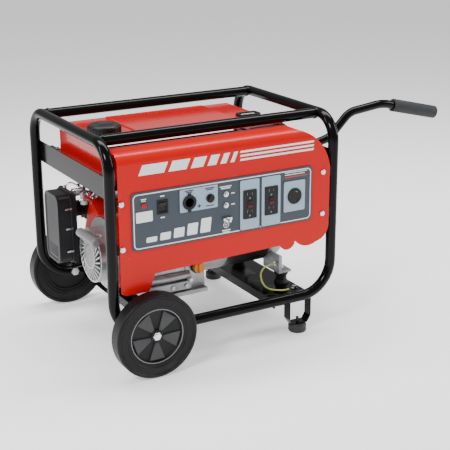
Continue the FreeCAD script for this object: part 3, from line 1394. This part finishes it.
def breaker(word, x, z, face, collar, button):
    """A round breaker: threaded collar on the face, barrel behind, sprung button in its bore."""
    stand = dim.collar_height
    ring = cylinder(f"{word}_collar", (along(x), face - stand, z), stand, collar, "y")
    barrel = cylinder(f"{word}_barrel", (along(x), face - 1, z), dim.breaker_depth, collar - 2, "y")
    bore = cylinder(f"{word}_bore", (along(x), face - 10, z), 26, button + dim.slip, "y")
    body = cut(f"{word}_body", fuse(f"{word}_solid", ring, barrel), bore)
    tip = face - stand - dim.button_stand
    pin = cylinder(f"{word}_pin", (along(x), tip, z), dim.button_stand + 14, button, "y")
    soft = round_edges(f"{word}_pin_round", pin, 1,
                       lambda edge: edge.Closed and edge.BoundBox.YMax < value(tip) + 1)
    return body, soft


def make_breakers():
    bodies = []
    for word, x, z, face, collar, button in (
        ("dc_breaker", dim.dc_breaker_x, dim.dc_breaker_height, plate_face, dim.dc_collar, dim.dc_button),
        ("ac_breaker_upper", dim.ac_breaker_x, dim.ac_breaker_high, panel_face, dim.ac_collar - 0.5,
         dim.ac_button),
        ("ac_breaker_lower", dim.ac_breaker_x, dim.ac_breaker_low, panel_face, dim.ac_collar - 0.5,
         dim.ac_button),
    ):
        body, button_part = breaker(word, x, z, face, collar, button)
        bodies.append(body)
        label = word.replace("breaker", "breaker_button")
        node(label, button_part)
    node("breaker_bodies", group("breaker_body_set", *bodies))


make_breakers()


def make_outlets():
    bodies = []
    front = plate_face - dim.outlet_stand
    for word, x in (("left", dim.outlet_left_x), ("right", dim.outlet_right_x)):
        z = dim.outlet_height
        half = dim.outlet_width / 2
        rise = dim.outlet_tall / 2
        body = box(f"{word}_outlet_box", (along(x - half), front, z - rise),
                   (along(x + half), front + dim.outlet_depth, z + rise))
        rounded = round_edges(f"{word}_outlet_round", body, 3, runs_along("y"))
        cutters = []
        for n, level in enumerate((dim.outlet_level, -dim.outlet_level)):
            for hand, side, tall in (("a", -6.2, 8), ("b", 6.2, 7)):
                low = z + level + 3 - tall / 2
                cutters.append(box(f"{word}_slot_{n}_{hand}",
                                   (along(x + side - dim.blade_slot / 2), front - 1, low),
                                   (along(x + side + dim.blade_slot / 2), front + dim.slot_depth, low + tall)))
            cutters.append(cylinder(f"{word}_earth_{n}", (along(x), front - 1, z + level - 7),
                                    dim.slot_depth, dim.earth_slot, "y"))
        for button, offset in (("test", 1), ("reset", -1)):
            spot = z + dim.outlet_button_offset * offset
            half_button = dim.outlet_button_width / 2
            cutters.append(box(f"{word}_{button}_well",
                               (along(x - half_button - dim.slip), front - 1,
                                spot - dim.outlet_button_tall / 2 - dim.slip),
                               (along(x + half_button + dim.slip), front + 12,
                                spot + dim.outlet_button_tall / 2 + dim.slip)))
            block = box(f"{word}_{button}_block", (along(x - half_button), front - 1.5,
                                                   spot - dim.outlet_button_tall / 2),
                        (along(x + half_button), front + 7, spot + dim.outlet_button_tall / 2))
            node(f"{word}_{button}_button",
                 round_edges(f"{word}_{button}_round", block, 0.8, runs_along("y")))
        bodies.append(cut(f"{word}_outlet", rounded, *cutters))
    node("duplex_outlets", group("duplex_outlet_set", *bodies))


make_outlets()


def make_twist_outlet():
    """Round locking outlet: three curved blade slots in a raised dark face."""
    front = plate_face - 3
    x = along(dim.twist_x)
    z = dim.twist_height
    body = cylinder("twist_body", (x, front, z), dim.twist_depth, dim.twist_radius, "y")
    soft = round_edges("twist_round", body, 1.5,
                       lambda edge: edge.Closed and edge.BoundBox.YMax < value(front) + 1)
    slots = []
    for n in range(3):
        outer = cylinder(f"twist_outer_{n}", (x, front - 1, z), dim.twist_slot_depth, dim.twist_slot_outer, "y")
        inner = cylinder(f"twist_inner_{n}", (x, front - 1, z), dim.twist_slot_depth, dim.twist_slot_inner, "y")
        slots.append((outer, inner))
    arcs = []
    for n, (outer, inner) in enumerate(slots):
        ring = cut(f"twist_ring_{n}", outer, inner)
        sector = box(f"twist_sector_{n}", (0, 0, 0), (9, 15, dim.twist_slot_depth))
        for letter in "xyz":
            sector.setExpression(f"Placement.Base.{letter}", None)
        turned = Placement(point(x, front - 1, z), Rotation(Vector(0, 1, 0), 30 + 120 * n))
        sector.Placement = turned.multiply(Placement(Vector(-4.5, 0, 0), Rotation()))
        common = doc.addObject("Part::Common", f"twist_slot_{n}")
        common.Base = ring
        common.Tool = sector
        arcs.append(common)
    node("twist_lock_outlet", cut("twist_lock_cut", soft, *arcs))


make_twist_outlet()


def make_terminal():
    """Earth stud through the panel with a wing nut; its free end takes a lug."""
    x = along(dim.terminal_x)
    z = dim.terminal_height
    tip = panel_face - dim.terminal_length + 2
    shank = cylinder("terminal_shank", (x, tip, z), dim.terminal_length + 10, dim.terminal_radius, "y")
    nut = hexagon("terminal_nut", (x, panel_face - 6, z), 6, dim.terminal_radius * 2.1, "y")
    back_nut = hexagon("terminal_back_nut", (x, face_y, z), 5, dim.terminal_radius * 2.1, "y")
    wings = [
        box(f"terminal_wing_{n}", (x + low, panel_face - 7, z - 1.5), (x + high, panel_face - 1, z + 5))
        for n, (low, high) in enumerate(((-11, -4), (4, 11)))
    ]
    node("ground_terminal", fuse("ground_terminal_parts", shank, nut, back_nut, *wings))


make_terminal()


# ---------------------------------------------------------------- bolts, screws and the earth wire

def make_fasteners():
    solids = list(bolt_solids)
    for side in (-1, 1):
        for n, y in enumerate(ledge_bolts):
            solids.append(stud(f"tank_bolt_{'left' if side < 0 else 'right'}_{n}", bolt_x * side, y,
                               dim.tank_seat - dim.sheet, dim.tank_seat + dim.seam_thickness,
                               dim.screw_radius - dim.slip))
    for n, (x, z) in enumerate(cover_screw_places()):
        head = cylinder(f"cover_screw_head_{n}", (along(x), face_y - 4, z), 4, dim.screw_radius * 2.2, "y")
        soft = round_edges(f"cover_screw_round_{n}", head, 2,
                           lambda edge: edge.Closed and edge.BoundBox.YMax < value(face_y) - 2)
        shank = cylinder(f"cover_screw_shank_{n}", (along(x), face_y - 1, z), 14,
                         dim.screw_radius - dim.slip, "y")
        solids.append(fuse(f"cover_screw_{n}", soft, shank))
    web = half_length - dim.tank_beam_inset
    for n, z in enumerate(bracket_bolts):
        shank = cylinder(f"bracket_shank_{n}", (along(web - dim.sheet), dim.handle_y, z), dim.sheet * 2,
                         dim.bolt_radius - dim.slip, "x")
        head = cylinder(f"bracket_head_{n}", (along(web + dim.sheet), dim.handle_y, z), 4,
                        dim.bolt_radius * 1.7,
                        "x")
        nut = cylinder(f"bracket_nut_{n}", (along(web - dim.sheet - 6), dim.handle_y, z), 6,
                       dim.bolt_radius * 1.7, "x")
        solids.append(fuse(f"bracket_bolt_{n}", shank, head, nut))
    cheek = dim.handle_radius + 1.5 + dim.sheet
    spot = (along(pivot_x), dim.handle_y - cheek, dim.pivot_height)
    pin = cylinder("pivot_pin", spot, cheek * 2, dim.pivot_radius, "y")
    head = hexagon("pivot_head", (spot[0], spot[1] - 6, spot[2]), 6, dim.pivot_radius * 1.8, "y")
    nut = hexagon("pivot_nut", (spot[0], spot[1] + cheek * 2, spot[2]), 8, dim.pivot_radius * 1.8, "y")
    solids.append(fuse("pivot_bolt", pin, head, nut))
    solids.extend([earth_lug_low(), earth_lug_high()])
    node("fasteners", group("fastener_set", *solids))


def earth_lug_low():
    """The bolt on the floor beam that holds the lower end of the earth wire."""
    x, y, z = WIRE_ROUTE[-1]
    lug = box("earth_lug", (along(x), y - 5, z - 2), (along(x + 14), y + 5, z + 2))
    head = hexagon("earth_bolt_head", (along(x + 8), y, z + 2), 5, 6)
    stack = cylinder("earth_bolt_stack", (along(x + 8), y, dim.floor_top), z - dim.floor_top, 5)
    return fuse("earth_bolt", lug, head, stack)


def earth_lug_high():
    """The bolt on the alternator's foot that holds the upper end of the earth wire."""
    x, y, z = WIRE_ROUTE[0]
    return cylinder("upper_earth_lug", (along(x), y, z), stator_end + 4 - x, 6, "x")


# The earth wire's route, from the alternator's foot round and down to the floor beam.
WIRE_ROUTE = [
    (191, -128, 151), (177, -128, 151), (160, -130, 150), (146, -135, 141), (140.5, -143, 126),
    (143, -154, 110), (153, -166, 102.5), (164, -177.5, 102), (176, -187, 103), (188, -192, 104),
    (200, -192, 104),
]


def make_wire():
    spots = [point(along(x), y, z) for x, y, z in WIRE_ROUTE]
    radii = []
    for before, corner, after in zip(spots, spots[1:], spots[2:]):
        run_in = (corner - before).Length
        run_out = (after - corner).Length
        turn = (corner - before).getAngle(after - corner)
        radii.append(0.45 * min(run_in, run_out) / math.tan(turn / 2))
    print("earth wire bend radii:", [round(radius, 1) for radius in radii])
    radius = value(dim.wire_radius)
    tube = rod_along(spots, radii, radius)
    length = tangent_path(spots, radii).Length
    print("earth wire length", round(length, 1), "volume ratio",
          round(tube.Volume / (math.pi * radius ** 2 * length), 4))
    node("ground_wire", shape("earth_wire_tube", tube))


make_wire()
make_fasteners()


# ---------------------------------------------------------------- check and export

doc.recompute()
for item in doc.Objects:
    if "Invalid" in item.State or "Error" in item.State:
        raise RuntimeError(f"{item.Name} could not be built: {item.State}")
for item in NODES:
    if item.Shape.isNull() or not item.Shape.isValid():
        raise RuntimeError(f"{item.Label} has no valid shape")
os.makedirs("parts", exist_ok=True)
for item in NODES:
    item.Shape.exportStep(f"parts/{item.Label}.step")
print(len(NODES), "pieces written")
